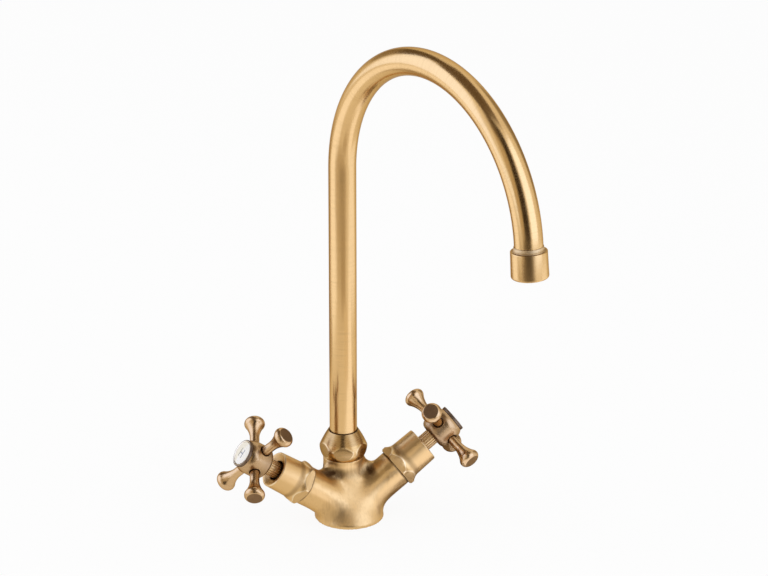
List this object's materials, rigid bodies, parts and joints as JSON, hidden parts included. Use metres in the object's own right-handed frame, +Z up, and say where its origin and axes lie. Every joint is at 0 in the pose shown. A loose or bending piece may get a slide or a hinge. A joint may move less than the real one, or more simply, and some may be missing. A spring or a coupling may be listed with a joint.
{
  "type": "kitchen mixer tap",
  "caption": "Deck-mounted kitchen mixer tap in aged brass: two cross handles on angled valves and a tall arched swivel spout with an aerator.",
  "frame": {"origin": "middle of the foot's underside, on the worktop", "axes": "+Z up, the user stands at -Y, the hot valve is at -X and the cold valve at +X"},
  "size_m": [0.1913, 0.2414, 0.384],
  "materials": {
    "aged_brass": "aged and brushed, satin",
    "plain_brass": "turned, unfinished",
    "bezel_brass": "darkened",
    "rubber": "matt",
    "plastic": "moulded",
    "disc_ceramic": "lapped ceramic",
    "porcelain": "glazed white",
    "steel": "plain"
  },
  "bodies": {
    "base": {"body": "aged_brass", "base_seal": "rubber", "spout_nut": "aged_brass", "lower_bearing": "plastic", "upper_bearing": "plastic", "hot_cartridge": "plain_brass", "hot_seat_seal": "rubber", "hot_fixed_disc": "disc_ceramic", "hot_thrust_washer": "plastic", "hot_shroud": "aged_brass", "cold_cartridge": "plain_brass", "cold_seat_seal": "rubber", "cold_fixed_disc": "disc_ceramic", "cold_thrust_washer": "plastic", "cold_shroud": "aged_brass"},
    "spout": {"spout_tail": "plain_brass", "spout_o_rings": "rubber", "spout_tube": "aged_brass", "outlet_collar": "aged_brass", "aerator_housing": "aged_brass", "aerator_washer": "rubber", "aerator_insert": "plastic"},
    "hot_handle": {"hot_moving_disc": "disc_ceramic", "hot_spindle": "plain_brass", "hot_spindle_o_rings": "rubber", "hot_spindle_clip": "steel", "hot_spline_sleeve": "plain_brass", "hot_handle_hub": "aged_brass", "hot_handle_arms": "aged_brass", "hot_handle_screw": "steel", "hot_bezel": "bezel_brass", "hot_index_disc": "porcelain"},
    "cold_handle": {"cold_moving_disc": "disc_ceramic", "cold_spindle": "plain_brass", "cold_spindle_o_rings": "rubber", "cold_spindle_clip": "steel", "cold_spline_sleeve": "plain_brass", "cold_handle_hub": "aged_brass", "cold_handle_arms": "aged_brass", "cold_handle_screw": "steel", "cold_bezel": "bezel_brass", "cold_index_disc": "porcelain"}
  },
  "joints": [
    {"name": "spout_swivel", "type": "hinge", "parent": "base", "child": "spout", "pos_m": [0, 0.011, 0.05], "axis": [0, 0, 1], "continuous": true},
    {"name": "hot_turn", "type": "hinge", "parent": "base", "child": "hot_handle", "pos_m": [-0.07305, 0, 0.05743], "axis": [-0.8171, 0, 0.5764], "range_deg": [0, 90]},
    {"name": "cold_turn", "type": "hinge", "parent": "base", "child": "cold_handle", "pos_m": [0.07305, 0, 0.05743], "axis": [0.8171, 0, 0.5764], "range_deg": [-90, 0]}
  ]
}
